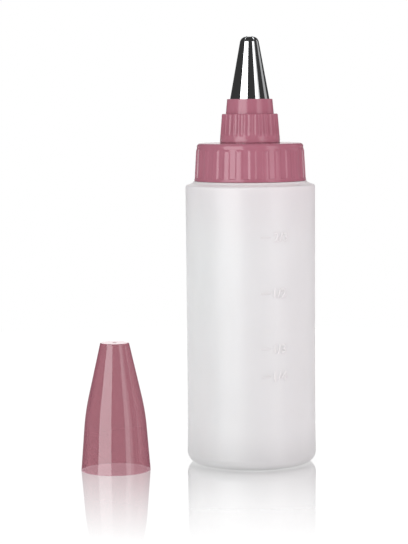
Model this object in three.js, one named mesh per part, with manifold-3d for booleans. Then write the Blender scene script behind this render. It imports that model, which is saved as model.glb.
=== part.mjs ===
// Decorating squeeze bottle. A soft graduated bottle carries a screw collar with a spout; a ring nut
// clamps a steel star nozzle on the spout; the overcap that covers the nozzle stands beside the bottle.
// Millimetres, +Z up. The floor is z = 0 and the origin is the middle of the whole set on the floor.
import * as THREE from 'three';
import { mergeVertices, toCreasedNormals } from 'three/addons/utils/BufferGeometryUtils.js';
import Module from 'manifold-3d';

const wasm = await Module();
wasm.setup();

// Bottle body, blow moulded: a straight cylinder, a nearly flat shoulder and a plain neck
const bodyDiameter = 49.7;
const bodyHeight = 107.35;
const bodyWall = 0.9;
const baseCornerRadius = 4.2;
const standingRingWidth = 3;
const pushUpDepth = 2;
const shoulderCornerRadius = 0.6;
const shoulderWidth = 3.8;
const landRise = 1.1;
const landRun = 2.9;
const neckDiameter = 35;
const neckHeight = 11.3;
const neckWall = 1.6;
const neckRimRadius = 0.4;

// Graduation ticks: raised bars on the front right, at fractions of a cup above the floor of the bottle
const cupFractions = [1 / 4, 1 / 3, 1 / 2, 2 / 3];
const heightOfOneCup = 126;
const heightOfZero = 4.45;
const tickLength = 3.8;
const tickHeight = 0.5;
const tickRelief = 0.2;
const tickBearing = 11.8;

// Sealing washer between the neck's rim and the top of the collar: its room in the collar's bore, and how
// far it reaches in over the mouth of the neck
const sealThickness = 1;
const sealRoom = 0.4;
const sealOverhang = 0.5;

// Screw collar: a ribbed skirt round the neck, with room for the thread between them, a top wall, and the
// spout on it. The skirt widens downwards by its draft on each side and ends in a small lip; above its ribs
// a plain band is set back by a little more than the recesses between them.
const collarHeight = 14.35;
const collarThreadRoom = 1.6;
const collarSkirtWall = 1.65;
const collarDraft = 0.6;
const collarTopWall = 1.8;
const collarEdgeRadius = 0.8;
const collarBandHeight = 2.5;
const collarBandSetback = 0.35;
const ribSlopeHeight = 0.9;
const lipReach = 0.15;
const lipHeight = 0.7;
const recessCount = 26;
const recessWidthShare = 0.52;
const recessDepth = 0.25;
const recessBottomMargin = 1.1;
const spoutSetback = 0.11;
const spoutShoulderHeight = 9.1;
const spoutConeHeight = 6;
const spoutWall = 1.9;
const spoutTipWall = 1.5;

// Star nozzle: a drawn steel cone whose crown is notched and bent in to a closed star
const nozzleBaseDiameter = 17.82;
const nozzleHeight = 31.25;
const nozzleWall = 0.45;
const nozzleTaper = 10.3;
const toothCount = 6;
const starOpening = 1.87;
const notchSetback = 0.29;
const notchInnerWidth = 0.95;
const notchOuterWidth = 0.18;

// Ring nut: a fluted skirt over the spout, with room for the thread between them, and a smooth hood over
// the nozzle. The skirt narrows upwards by its draft on each side above a straight rim.
const ringThreadRoom = 1;
const ringSkirtWall = 1.7;
const ringDraft = 0.8;
const ringRimHeight = 1;
const ringTopWall = 3.05;
const ringEdgeRadius = 0.4;
const boreBelowSeat = 1;
const hoodHeight = 5.65;
const hoodFootWall = 0.41;
const hoodTopWall = 0.935;
const fluteCount = 30;
const fluteRadius = 1;
const fluteDepth = 0.35;
const fluteStart = 2.4;

// Overcap: a thin cone with a soft knee, closed at the narrow end. Its mouth fits over the ring nut.
const overcapHeight = 48.6;
const overcapMouthRoom = 0.45;
const overcapTopDiameter = 10.9;
const overcapWall = 1.2;
const overcapKneeHeight = 22.5;
const overcapKneeDraft = 1.8;
const overcapKneeBlend = 6;
const overcapEdgeRadius = 0.4;
const gateDiameter = 1.6;
const gateDepth = 0.3;

// Where the overcap stands, from the bottle's axis
const overcapLeft = 52;
const overcapFront = 17.1;

// Clearances between pieces, and how far every cutter runs past the wall it cuts
const seatGap = 0.3;
const coneGap = 0.3;
const hoodGap = 0.2;
const overrun = 1;

// How finely round pieces are faceted
const bodySides = 60;
const smallSides = 48;
const cornerSteps = 4;
const crownSteps = 6;
const fluteSides = 10;
const weld = 1e-4;

const bodyRadius = bodyDiameter / 2;
const landRadius = bodyRadius - shoulderWidth;
const neckBoreRadius = neckDiameter / 2 - neckWall;
const taperAngle = THREE.MathUtils.degToRad(nozzleTaper);
const zAxis = new THREE.Vector3(0, 0, 1);

// Every round piece is sized from the one inside it
const collarBoreRadius = neckDiameter / 2 + collarThreadRoom;
const collarTopRadius = collarBoreRadius + collarSkirtWall;
const collarBottomRadius = collarTopRadius + collarDraft;
const spoutRadius = nozzleBaseDiameter / 2 - spoutSetback;
const ringBoreRadius = spoutRadius + ringThreadRoom;
const ringBottomRadius = ringBoreRadius + ringSkirtWall;
const ringTopRadius = ringBottomRadius - ringDraft;
const overcapMouthRadius = ringBottomRadius + overcapMouthRoom + overcapWall;

// Places of the pieces along the bottle's axis, each seated on the one below
const neckRimZ = bodyHeight + landRise + neckHeight;
const sealZ = neckRimZ + seatGap;
const collarZ = sealZ + sealThickness + seatGap + collarTopWall - collarHeight;
const collarTopZ = collarZ + collarHeight;
const ringZ = collarTopZ + seatGap;
const nozzleZ = collarTopZ + spoutShoulderHeight + seatGap;
const ringBoreHeight = spoutShoulderHeight - seatGap - boreBelowSeat;
const ringSkirtHeight = ringBoreHeight + ringTopWall;
const ringHeight = ringSkirtHeight + hoodHeight;

// The straight taper of the collar's skirt runs from the top of the lip to where the ribs slope in to the band
const ribTopHeight = collarHeight - collarBandHeight;
const skirtFootHeight = lipHeight + lipReach;
const skirtHeadHeight = ribTopHeight - ribSlopeHeight;

function skirtRadiusAt(height) {
  const climbed = (height - skirtFootHeight) / (skirtHeadHeight - skirtFootHeight);
  return collarBottomRadius - collarDraft * climbed;
}

// The nozzle's outer radius at a height above its base, and the radius just inside its wall
function nozzleRadiusAt(height) {
  return nozzleBaseDiameter / 2 - height * Math.tan(taperAngle);
}

function nozzleInnerRadiusAt(height) {
  return nozzleRadiusAt(height) - nozzleWall / Math.cos(taperAngle);
}

// Outline helpers. An outline is a list of (radius, height) points.
function at(radius, height) {
  return new THREE.Vector2(radius, height);
}

function arc(centreRadius, centreHeight, radius, fromDegrees, toDegrees, steps = cornerSteps) {
  const points = [];
  for (let i = 0; i <= steps; i += 1) {
    const angle = THREE.MathUtils.degToRad(fromDegrees + ((toDegrees - fromDegrees) * i) / steps);
    points.push(at(centreRadius + radius * Math.cos(angle), centreHeight + radius * Math.sin(angle)));
  }
  return points;
}

// Turns a geometry into a solid: welded vertices, and no triangle that has shrunk to a line
function solidOf(geometry) {
  const bare = geometry.clone();
  bare.deleteAttribute('normal');
  bare.deleteAttribute('uv');
  const welded = mergeVertices(bare, weld);
  const index = welded.index.array;
  const kept = [];
  for (let i = 0; i < index.length; i += 3) {
    const [a, b, c] = [index[i], index[i + 1], index[i + 2]];
    if (a !== b && b !== c && c !== a) kept.push(a, b, c);
  }
  const vertProperties = new Float32Array(welded.attributes.position.array);
  const triVerts = new Uint32Array(kept);
  return new wasm.Manifold(new wasm.Mesh({ numProp: 3, vertProperties, triVerts }));
}

// Spins an outline round the Z axis. The outline runs so that the material lies on its left.
function turned(outline, sides) {
  const geometry = new THREE.LatheGeometry(outline, sides);
  geometry.rotateX(Math.PI / 2);
  return solidOf(geometry);
}

function named(name, solid, material, place = new THREE.Vector3()) {
  const { vertProperties, triVerts } = solid.getMesh();
  const geometry = new THREE.BufferGeometry();
  geometry.setAttribute('position', new THREE.BufferAttribute(vertProperties, 3));
  geometry.setIndex(new THREE.BufferAttribute(triVerts, 1));
  const mesh = new THREE.Mesh(toCreasedNormals(geometry, Math.PI / 6), material);
  mesh.name = name;
  mesh.position.copy(place);
  return mesh;
}

// Places count copies of a cutter at equal angles round the axis
function aroundAxis(geometry, count) {
  const copies = [];
  for (let i = 0; i < count; i += 1) {
    const copy = geometry.clone();
    copy.rotateZ((2 * Math.PI * i) / count);
    copies.push(solidOf(copy));
  }
  return wasm.Manifold.union(copies);
}

// The height of the domed push-up under the bottle at a radius
function pushUpAt(radius, domeRadius) {
  return pushUpDepth * (1 - (radius / domeRadius) ** 2);
}

function bottleBody() {
  const cornerCentre = bodyRadius - baseCornerRadius;
  const domeRadius = cornerCentre - standingRingWidth;
  const domeSteps = 4;
  const underside = [];
  const floor = [];
  for (let i = 0; i < domeSteps; i += 1) {
    const radius = (domeRadius * i) / domeSteps;
    underside.push(at(radius, pushUpAt(radius, domeRadius)));
    floor.unshift(at(radius, pushUpAt(radius, domeRadius) + bodyWall));
  }
  const shoulderCentre = bodyRadius - shoulderCornerRadius;
  const landZ = bodyHeight + landRise;
  const neckRadius = neckDiameter / 2;
  const outline = [
    ...underside,
    at(domeRadius, 0),
    ...arc(cornerCentre, baseCornerRadius, baseCornerRadius, -90, 0),
    ...arc(shoulderCentre, bodyHeight - shoulderCornerRadius, shoulderCornerRadius, 0, 90),
    at(landRadius + landRun, bodyHeight),
    at(landRadius + landRun / 2, bodyHeight + landRise / 2),
    at(landRadius, landZ),
    at(neckRadius, landZ),
    ...arc(neckRadius - neckRimRadius, neckRimZ - neckRimRadius, neckRimRadius, 0, 90, 2),
    at(neckBoreRadius, neckRimZ),
    at(neckBoreRadius, landZ - bodyWall),
    at(landRadius, landZ - bodyWall),
    at(landRadius + landRun, bodyHeight - bodyWall),
    at(bodyRadius - bodyWall, bodyHeight - bodyWall),
    ...arc(cornerCentre, baseCornerRadius, baseCornerRadius - bodyWall, 0, -90),
    at(domeRadius, bodyWall),
    ...floor,
  ];
  return turned(outline, bodySides);
}

// A graduation tick is a short bar wrapped round the wall, sunk into it and standing proud by its relief
function tick(fraction) {
  const spread = tickLength / bodyRadius;
  const bearing = THREE.MathUtils.degToRad(tickBearing - 90);
  const bottom = heightOfZero + heightOfOneCup * fraction - tickHeight / 2;
  const shape = new THREE.Shape();
  shape.absarc(0, 0, bodyRadius + tickRelief, bearing - spread / 2, bearing + spread / 2, false);
  shape.absarc(0, 0, bodyRadius - bodyWall / 2, bearing + spread / 2, bearing - spread / 2, true);
  const bar = new THREE.ExtrudeGeometry(shape, { depth: tickHeight, bevelEnabled: false, curveSegments: 2 });
  bar.translate(0, 0, bottom);
  return solidOf(bar);
}

function graduatedBottle() {
  let solid = bottleBody();
  for (const fraction of cupFractions) solid = solid.add(tick(fraction));
  return solid;
}

function sealingWasher() {
  const outer = collarBoreRadius - sealRoom;
  const inner = neckBoreRadius - sealOverhang;
  const outline = [at(inner, 0), at(outer, 0), at(outer, sealThickness), at(inner, sealThickness), at(inner, 0)];
  return turned(outline, smallSides);
}

function collarBlank() {
  const bore = collarBoreRadius;
  const lip = collarBottomRadius + lipReach;
  const underTop = collarHeight - collarTopWall;
  const shoulder = collarHeight + spoutShoulderHeight;
  const tip = shoulder + spoutConeHeight;
  const coneFoot = nozzleInnerRadiusAt(-seatGap) - coneGap;
  const coneTip = nozzleInnerRadiusAt(spoutConeHeight - seatGap) - coneGap;
  const bandRadius = collarTopRadius - collarBandSetback;
  const outline = [
    at(bore, 0),
    at(lip, 0),
    at(lip, lipHeight),
    at(collarBottomRadius, skirtFootHeight),
    at(collarTopRadius, skirtHeadHeight),
    at(bandRadius, ribTopHeight),
    ...arc(bandRadius - collarEdgeRadius, collarHeight - collarEdgeRadius, collarEdgeRadius, 0, 90),
    at(spoutRadius, collarHeight),
    at(spoutRadius, shoulder),
    at(coneFoot, shoulder),
    at(coneTip, tip),
    at(coneTip - spoutTipWall, tip),
    at(spoutRadius - spoutWall, underTop),
    at(bore, underTop),
    at(bore, 0),
  ];
  return turned(outline, 2 * recessCount);
}

// The grip of the collar: shallow upright recesses between flat ribs, following the skirt's draft
function collarRecesses() {
  const height = ribTopHeight - recessBottomMargin;
  const middle = skirtRadiusAt(recessBottomMargin + height / 2);
  const width = (2 * Math.PI * middle * recessWidthShare) / recessCount;
  const draft = Math.atan2(collarDraft, skirtHeadHeight - skirtFootHeight);
  const thickness = recessDepth + overrun;
  const cutter = new THREE.BoxGeometry(thickness, width, height);
  cutter.rotateY(-draft);
  cutter.translate(middle - recessDepth + thickness / 2, 0, recessBottomMargin + height / 2);
  return aroundAxis(cutter, recessCount);
}

function screwCollar() {
  return collarBlank().subtract(collarRecesses());
}

// The radius of the teeth's bend: it leaves the cone smoothly and is level where it meets the opening
function toothBend() {
  const room = nozzleRadiusAt(nozzleHeight) - starOpening / 2;
  return room / (Math.cos(taperAngle) - (1 - Math.sin(taperAngle)) * Math.tan(taperAngle));
}

function nozzleBlank() {
  const bend = toothBend();
  const bendHeight = nozzleHeight - bend;
  const bendCentre = starOpening / 2;
  const outline = [
    at(nozzleInnerRadiusAt(0), 0),
    at(nozzleBaseDiameter / 2, 0),
    ...arc(bendCentre, bendHeight, bend, nozzleTaper, 90, crownSteps),
    ...arc(bendCentre, bendHeight, bend - nozzleWall, 90, nozzleTaper, crownSteps),
    at(nozzleInnerRadiusAt(0), 0),
  ];
  return turned(outline, smallSides);
}

// The notches between the teeth: wedges that are wide at the axis and end in the bend of the crown
function starNotches() {
  const bend = toothBend();
  const reach = starOpening / 2 + bend * Math.cos(taperAngle) - notchSetback;
  const wedge = new THREE.Shape([
    at(0, -notchInnerWidth / 2),
    at(reach, -notchOuterWidth / 2),
    at(reach, notchOuterWidth / 2),
    at(0, notchInnerWidth / 2),
  ]);
  const cutter = new THREE.ExtrudeGeometry(wedge, { depth: bend + overrun, bevelEnabled: false });
  cutter.rotateZ(Math.PI / toothCount);
  cutter.translate(0, 0, nozzleHeight - bend);
  return aroundAxis(cutter, toothCount);
}

function starNozzle() {
  return nozzleBlank().subtract(starNotches());
}

function ringBlank() {
  const seatFromRing = nozzleZ - ringZ;
  const coneBottom = nozzleRadiusAt(ringBoreHeight + hoodGap - seatFromRing) + hoodGap;
  const coneTop = nozzleRadiusAt(ringHeight - seatFromRing) + hoodGap;
  const hoodFoot = nozzleRadiusAt(ringSkirtHeight - seatFromRing) + hoodGap + hoodFootWall;
  const hoodTop = coneTop + hoodTopWall;
  const outline = [
    at(ringBoreRadius, 0),
    at(ringBottomRadius, 0),
    at(ringBottomRadius, ringRimHeight),
    ...arc(ringTopRadius - ringEdgeRadius, ringSkirtHeight - ringEdgeRadius, ringEdgeRadius, 0, 90, 2),
    at(hoodFoot, ringSkirtHeight),
    at(hoodTop, ringHeight - ringEdgeRadius / 2),
    at(hoodTop - ringEdgeRadius / 2, ringHeight),
    at(coneTop, ringHeight),
    at(coneBottom, ringBoreHeight + hoodGap),
    at(ringBoreRadius, ringBoreHeight - (ringBoreRadius - coneBottom)),
    at(ringBoreRadius, 0),
  ];
  return turned(outline, 2 * fluteCount);
}

// The flutes of the ring: round-ended grooves that follow the taper and run out at the skirt's top
function ringFlutes() {
  const taper = Math.atan2(ringDraft, ringSkirtHeight - ringRimHeight);
  const startHeight = fluteStart + fluteRadius / 2;
  const startRadius = ringBottomRadius - (startHeight - ringRimHeight) * Math.tan(taper);
  const length = ringSkirtHeight - fluteStart + overrun;
  const cutter = new THREE.CapsuleGeometry(fluteRadius, length, 3, fluteSides);
  cutter.rotateX(Math.PI / 2);
  cutter.translate(fluteRadius - fluteDepth, 0, length / 2);
  cutter.rotateY(-taper);
  cutter.translate(startRadius, 0, startHeight);
  return aroundAxis(cutter, fluteCount);
}

function ringNut() {
  return ringBlank().subtract(ringFlutes());
}

// One side of the overcap's wall, from the mouth to the top. The knee is a smooth curve through two
// straight tapers; inset moves the whole line inwards.
function overcapSide(inset, topHeight) {
  const knee = at(overcapMouthRadius - overcapKneeDraft - inset, overcapKneeHeight);
  const mouth = at(overcapMouthRadius - inset, 0);
  const crown = at(overcapTopDiameter / 2 - inset, overcapHeight);
  const upperSlope = (crown.x - knee.x) / (crown.y - knee.y);
  const lowerSlope = (knee.x - mouth.x) / (knee.y - mouth.y);
  const below = at(knee.x - lowerSlope * overcapKneeBlend, knee.y - overcapKneeBlend);
  const above = at(knee.x + upperSlope * overcapKneeBlend, knee.y + overcapKneeBlend);
  const bend = new THREE.QuadraticBezierCurve(below, knee, above);
  const end = at(knee.x + upperSlope * (topHeight - knee.y), topHeight);
  return [mouth, ...bend.getPoints(cornerSteps), end];
}

function overcap() {
  const outside = overcapSide(0, overcapHeight - overcapEdgeRadius);
  const inside = overcapSide(overcapWall, overcapHeight - overcapWall).reverse();
  const edge = outside[outside.length - 1];
  const gate = gateDiameter / 2;
  const outline = [
    ...outside,
    ...arc(edge.x - overcapEdgeRadius, edge.y, overcapEdgeRadius, 0, 90, 3).slice(1),
    at(gate, overcapHeight),
    at(gate / 2, overcapHeight - gateDepth),
    at(0, overcapHeight - gateDepth),
  ];
  const hollow = [at(0, overcapHeight - overcapWall), ...inside];
  return turned([...hollow, ...outline], smallSides);
}

// Plastics and steel
const milkyPlastic = new THREE.MeshStandardMaterial({ color: '#e9e8e8', roughness: 0.45, metalness: 0 });
const sealPlastic = new THREE.MeshStandardMaterial({ color: '#f1eeea', roughness: 0.6, metalness: 0 });
const pinkPlastic = new THREE.MeshStandardMaterial({ color: '#b06c7e', roughness: 0.28, metalness: 0 });
const overcapPlastic = new THREE.MeshStandardMaterial({ color: '#a56878', roughness: 0.22, metalness: 0 });
const steel = new THREE.MeshStandardMaterial({ color: '#c9cbcc', roughness: 0.12, metalness: 1 });

// The bottle stands right of the middle and the overcap left of it, so that the set is centred
const bottle = new THREE.Group();
bottle.position.x = (overcapLeft + overcapMouthRadius - bodyRadius) / 2;
bottle.position.y = (overcapFront + overcapMouthRadius - bodyRadius) / 2;
bottle.add(named('bottle_body', graduatedBottle(), milkyPlastic));
bottle.add(named('collar_seal', sealingWasher(), sealPlastic, zAxis.clone().multiplyScalar(sealZ)));
bottle.add(named('screw_collar', screwCollar(), pinkPlastic, zAxis.clone().multiplyScalar(collarZ)));
bottle.add(named('star_nozzle', starNozzle(), steel, zAxis.clone().multiplyScalar(nozzleZ)));
bottle.add(named('ring_nut', ringNut(), pinkPlastic, zAxis.clone().multiplyScalar(ringZ)));
bottle.add(named('overcap', overcap(), overcapPlastic, new THREE.Vector3(-overcapLeft, -overcapFront, 0)));

const decoratingBottle = new THREE.Group();
decoratingBottle.name = 'decorating_bottle';
decoratingBottle.add(bottle);

export default decoratingBottle;
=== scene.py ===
# %% [markdown]
# # A decorating squeeze bottle
# A soft, milky bottle carries a pink screw collar with a spout. A fluted ring nut clamps a steel star
# nozzle on the spout, and the pink overcap that protects the nozzle stands beside the bottle.
#
# The construction model is loaded first. It gives each piece its place, size and motion, and it stays as
# it is. Each piece is then made again as a fine mesh with a real surface, which stands for the plain
# solid and moves with the same body.

# %% Load the construction model
import math

import bmesh
import bpy
from mathutils import Matrix, Vector


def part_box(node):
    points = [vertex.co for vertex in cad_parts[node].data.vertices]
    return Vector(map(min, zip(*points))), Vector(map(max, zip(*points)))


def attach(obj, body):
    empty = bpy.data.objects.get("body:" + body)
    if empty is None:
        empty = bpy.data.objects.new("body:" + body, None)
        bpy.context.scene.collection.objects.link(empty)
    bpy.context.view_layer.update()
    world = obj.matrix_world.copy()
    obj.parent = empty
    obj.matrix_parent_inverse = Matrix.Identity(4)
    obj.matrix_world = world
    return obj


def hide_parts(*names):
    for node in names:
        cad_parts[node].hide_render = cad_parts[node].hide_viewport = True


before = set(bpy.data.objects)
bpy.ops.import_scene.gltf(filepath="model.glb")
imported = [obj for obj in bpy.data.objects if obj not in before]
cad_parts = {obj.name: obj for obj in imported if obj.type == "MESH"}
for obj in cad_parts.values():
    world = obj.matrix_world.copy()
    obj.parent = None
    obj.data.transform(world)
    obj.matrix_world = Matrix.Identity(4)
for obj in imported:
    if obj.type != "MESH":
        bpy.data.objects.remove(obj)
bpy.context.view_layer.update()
mm = 0.001

# %% [markdown]
# ## Where the pieces stand
# Everything is measured from the loaded model: the axis of the bottle, the axis of the overcap, and the
# level at which each piece starts. A piece is drawn round its own axis from its own foot, as on a lathe,
# and is then put in place, so its outline reads like a drawing of that piece alone.

# %% Places and outer sizes from the model
def foot_of(node):
    """The point on a round node's axis at its lowest level."""
    low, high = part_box(node)
    return Vector(((low.x + high.x) / 2, (low.y + high.y) / 2, low.z))


def radius_of(node):
    """A round node's largest radius. The model is faceted evenly, so its box is as wide as the piece."""
    low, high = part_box(node)
    return (high.x - low.x) / 2


def height_of(node):
    low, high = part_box(node)
    return high.z - low.z


body_radius = radius_of("bottle_body")
neck_rim_height = height_of("bottle_body")
print(f"body {2 * body_radius / mm:.1f} mm across, neck rim at {neck_rim_height / mm:.1f} mm")

# %% [markdown]
# ## Turned pieces
# Every piece of this bottle is round, so one tool makes nearly all of them. An outline of (radius, height)
# points is carried round the upright axis, as clay on a wheel is. Corners are short arcs, because no
# moulded edge is sharp and a round one catches a line of light. The Spin tool or a Screw modifier would do
# the same, but a loop of our own can also carve each point in or out, which gives flutes and grip ribs
# that run out softly, with no cut to clean up.

# %% Outline and turning tools
full_turn = 2 * math.pi


def spaced(first, last, steps):
    """Numbers in even steps, with both ends."""
    return [first + (last - first) * i / steps for i in range(steps + 1)]


def straight(first, last, steps):
    """Points on a straight stretch of outline, with both ends."""
    return list(zip(*[spaced(a, b, steps) for a, b in zip(first, last)]))


def corner(radius, height, bend, start, end, steps=6):
    """Rounds the corner at (radius, height) with an arc between two angles. One step makes a chamfer."""
    middle = math.radians((start + end) / 2)
    across = radius - math.copysign(bend, math.cos(middle))
    up = height - math.copysign(bend, math.sin(middle))
    angles = [math.radians(a) for a in spaced(start, end, steps)]
    return [(across + bend * math.cos(a), up + bend * math.sin(a)) for a in angles]


def round_point(bearing, radius, height):
    """A point in space. Its bearing is 0 at the front and grows towards the right."""
    return (radius * math.sin(bearing), -radius * math.cos(bearing), height)


def add_line(bm, points):
    return [bm.verts.new(point) for point in points]


def bridge(bm, lower, upper):
    """Faces between two rings of points. A ring of one point is a tip on the axis."""
    count = max(len(lower), len(upper))
    for i in range(count):
        j = (i + 1) % count
        corners = [lower[i % len(lower)], lower[j % len(lower)], upper[j % len(upper)], upper[i % len(upper)]]
        unique = list(dict.fromkeys(corners))
        if len(unique) > 2:
            bm.faces.new(unique)


def even_bearings(count):
    return spaced(0, full_turn, count)[:-1]


def uncarved(bearing, radius, height):
    return radius


def spin(outline, bearings, carve=uncarved, closed=True):
    """Carries an outline round the axis. carve gives each point's radius, and so may move it in or out."""
    bm = bmesh.new()
    rings = []
    for radius, height in outline:
        directions = bearings if radius > 0 else bearings[:1]
        points = [round_point(b, carve(b, radius, height), height) for b in directions]
        rings.append(add_line(bm, points))
    following = rings[1:] + rings[:1] if closed else rings[1:]
    for lower, upper in zip(rings, following):
        bridge(bm, lower, upper)
    bmesh.ops.recalc_face_normals(bm, faces=bm.faces)
    return bm

# %% Tools that finish a piece
sharp_angle = math.radians(38)


def add_object(name, data):
    made = bpy.data.objects.new(name, data)
    bpy.context.collection.objects.link(made)
    return made


def new_mesh(name, bm):
    mesh = bpy.data.meshes.new(name)
    bm.to_mesh(mesh)
    bm.free()
    return mesh


def add_piece(name, bm, place, body, material, nodes=()):
    """Turns a bmesh into a smooth piece of the object, puts it in place and lets it ride on its body."""
    mesh = new_mesh(name, bm)
    mesh.transform(Matrix.Translation(place))
    mesh.shade_smooth()
    mesh.set_sharp_from_angle(angle=sharp_angle)
    mesh.materials.append(material)
    piece = add_object(name, mesh)
    piece.modifiers.new("flat faces stay flat", "WEIGHTED_NORMAL").keep_sharp = True
    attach(piece, body)
    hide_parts(*nodes)
    print(f"{name}: {len(mesh.polygons)} faces, rides on {body}")
    return piece

# %% [markdown]
# ## Screw threads
# A thread is a ridge that climbs while it goes round. Its section is a low trapezium, narrower at the
# crest, and it rises out of the wall at one end and sinks back at the other, as it must to leave its
# mould. The inner ridge of a pair lies half a pitch below the outer one, so the two lie between each other
# as on the real closure, and they stay so while the collar or the ring turns and climbs.

# %% Thread tool
thread_steps_per_turn = 72
thread_run_in = 0.12
third_turn = 1 / 3


def sweep(bm, sections):
    """A bar through a row of sections, with a face at both ends."""
    rings = [add_line(bm, section) for section in sections]
    bm.faces.new(rings[0])
    for lower, upper in zip(rings, rings[1:]):
        bridge(bm, lower, upper)
    bm.faces.new(rings[-1][::-1])


def add_thread(bm, wall, start, rise, foot_width, crest_width, pitch, turns, inner=False):
    """A right-hand ridge on a wall, which fades out at both ends.

    start is the level at which the outer ridge of a pair starts. The inner ridge is placed after it.
    """
    outward = -1 if inner else 1
    lead = third_turn if inner else 0
    drop = pitch / 2 if inner else 0
    foot = foot_width / 2
    edge = crest_width / 2
    root = wall - outward * edge / 2
    crest = wall + outward * rise
    sections = []
    for turned in spaced(0, turns, round(turns * thread_steps_per_turn)):
        height = start + pitch * (lead + turned) - drop
        fade = min(1, turned / thread_run_in, (turns - turned) / thread_run_in)
        top = root + (crest - root) * math.sin(fade * math.pi / 2)
        corners = [(root, -foot), (top, -edge), (top, edge), (root, foot)]
        sections.append([round_point(full_turn * (lead + turned), r, height + up) for r, up in corners])
    sweep(bm, sections)

# %% [markdown]
# ## Surface effects that the materials share
# No moulded or polished surface is perfectly even. Four small node groups hold what several materials
# need, so each is built once and every material sets its own amounts:
# - moulded skin: the faint ripple, like orange peel, that plastic takes from its mould
# - colour drift: pigment that is slightly richer in some places than in others
# - handling: patches where fingers and cloths have left the gloss a little duller
# - colour by height: one colour below a level and another above it, with a soft change between them
#
# Their inputs and outputs are named, and they put out only a height, a colour or a value. Lengths are in
# metres, so a noise scale of 700 gives features of about 1.4 mm.

# %% Node tools
def add_node(tree, kind, feeds=None, **settings):
    """Adds a shader node and gives its outputs. feeds has what goes in: values, or outputs of others."""
    made = tree.nodes.new("ShaderNode" + kind)
    for key, value in settings.items():
        setattr(made, key, value)
    for key, value in (feeds or {}).items():
        if isinstance(value, bpy.types.NodeSocket):
            tree.links.new(value, made.inputs[key])
        else:
            made.inputs[key].default_value = value
    return made.outputs


def calculate(tree, operation, *values):
    """What a Math node makes of its values."""
    return add_node(tree, "Math", dict(enumerate(values)), operation=operation)[0]


def remap(tree, value, start, end, at_start=0, at_end=1, **settings):
    """A value that is at_start up to start, at_end from end on, and changes evenly in between."""
    feeds = {0: value, 1: start, 2: end, 3: at_start, 4: at_end}
    return add_node(tree, "MapRange", feeds, **settings)[0]


# A Mix node takes its share at socket 0, two numbers at 2 and 3, or two colours at 6 and 7.
def mix_values(tree, share, first, second):
    return add_node(tree, "Mix", {0: share, 2: first, 3: second})[0]


def mix_colours(tree, share, first, second, blend="MIX"):
    feeds = {0: share, 6: first, 7: second}
    return add_node(tree, "Mix", feeds, data_type="RGBA", blend_type=blend)[2]


def mix_shaders(tree, share, first, second):
    return add_node(tree, "MixShader", {0: share, 1: first, 2: second})[0]


def add_noise(tree, where, scale, detail):
    feeds = {"Vector": where, "Scale": scale, "Detail": detail}
    return add_node(tree, "TexNoise", feeds)[0]


def new_group(name, inputs, outputs):
    """A shader node group, what comes in, what goes out, and the place on the object."""
    group = bpy.data.node_groups.new(name, "ShaderNodeTree")
    for label, kind, value in inputs:
        socket = group.interface.new_socket(name=label, in_out="INPUT", socket_type=kind)
        socket.default_value = value
    for label, kind in outputs:
        group.interface.new_socket(name=label, in_out="OUTPUT", socket_type=kind)
    where = add_node(group, "TexCoord")["Object"]
    given = group.nodes.new("NodeGroupInput").outputs
    result = group.nodes.new("NodeGroupOutput").inputs
    print("group:", name)
    return group, given, result, where


def place_group(tree, group, feeds):
    return add_node(tree, "Group", feeds, node_tree=group)


number = "NodeSocketFloat"
colour = "NodeSocketColor"
grey = (0.5, 0.5, 0.5, 1)

# %% Moulded skin
moulded_skin, given, result, where = new_group(
    "moulded skin",
    [("Ripple Scale", number, 700), ("Grain Scale", number, 6000), ("Grain Share", number, 0.3)],
    [("Height", number)],
)
ripple = add_noise(moulded_skin, where, given["Ripple Scale"], 2)
grain = add_noise(moulded_skin, where, given["Grain Scale"], 1)
blended = mix_values(moulded_skin, given["Grain Share"], ripple, grain)
moulded_skin.links.new(blended, result["Height"])

# %% Colour drift
drift_limits = (0.35, 0.65)
colour_drift, given, result, where = new_group(
    "colour drift",
    [("Color", colour, grey), ("Drift Color", colour, grey), ("Scale", number, 60), ("Stretch", number, 1)],
    [("Color", colour)],
)
squeezed = add_node(colour_drift, "CombineXYZ", {0: 1, 1: 1, 2: given["Stretch"]})[0]
stretched = add_node(colour_drift, "VectorMath", {0: where, 1: squeezed}, operation="MULTIPLY")[0]
cloud = add_noise(colour_drift, stretched, given["Scale"], 3)
share = remap(colour_drift, cloud, *drift_limits)
drifted = mix_colours(colour_drift, share, given["Color"], given["Drift Color"])
colour_drift.links.new(drifted, result["Color"])

# %% Handling
wear_limits = (0.4, 0.75)
handling, given, result, where = new_group(
    "handling",
    [("Gloss", number, 0.2), ("Dulled", number, 0.3), ("Patch Scale", number, 90)],
    [("Roughness", number)],
)
worn = remap(handling, add_noise(handling, where, given["Patch Scale"], 4), *wear_limits)
handling.links.new(mix_values(handling, worn, given["Gloss"], given["Dulled"]), result["Roughness"])

# %% Colour by height
swell_scale = 45
noise_middle = 0.5
height_blend, given, result, where = new_group(
    "colour by height",
    [
        ("Lower Color", colour, grey), ("Upper Color", colour, grey),
        ("Start", number, 0), ("Height", number, 5 * mm), ("Waver", number, 0),
    ],
    [("Color", colour)],
)
level = add_node(height_blend, "SeparateXYZ", {0: where})["Z"]
above_start = calculate(height_blend, "SUBTRACT", level, given["Start"])
swell = calculate(height_blend, "SUBTRACT", add_noise(height_blend, where, swell_scale, 1), noise_middle)
raised = calculate(height_blend, "MULTIPLY_ADD", swell, given["Waver"], above_start)
share = remap(height_blend, raised, 0, given["Height"], interpolation_type="SMOOTHSTEP")
blend = mix_colours(height_blend, share, given["Lower Color"], given["Upper Color"])
height_blend.links.new(blend, result["Color"])

# %% [markdown]
# ## Materials
# Each material is one Principled shader. What is the same all over, such as how clear or how metallic the
# piece is, is set on the shader itself. What changes over the surface comes from the groups.

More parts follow.
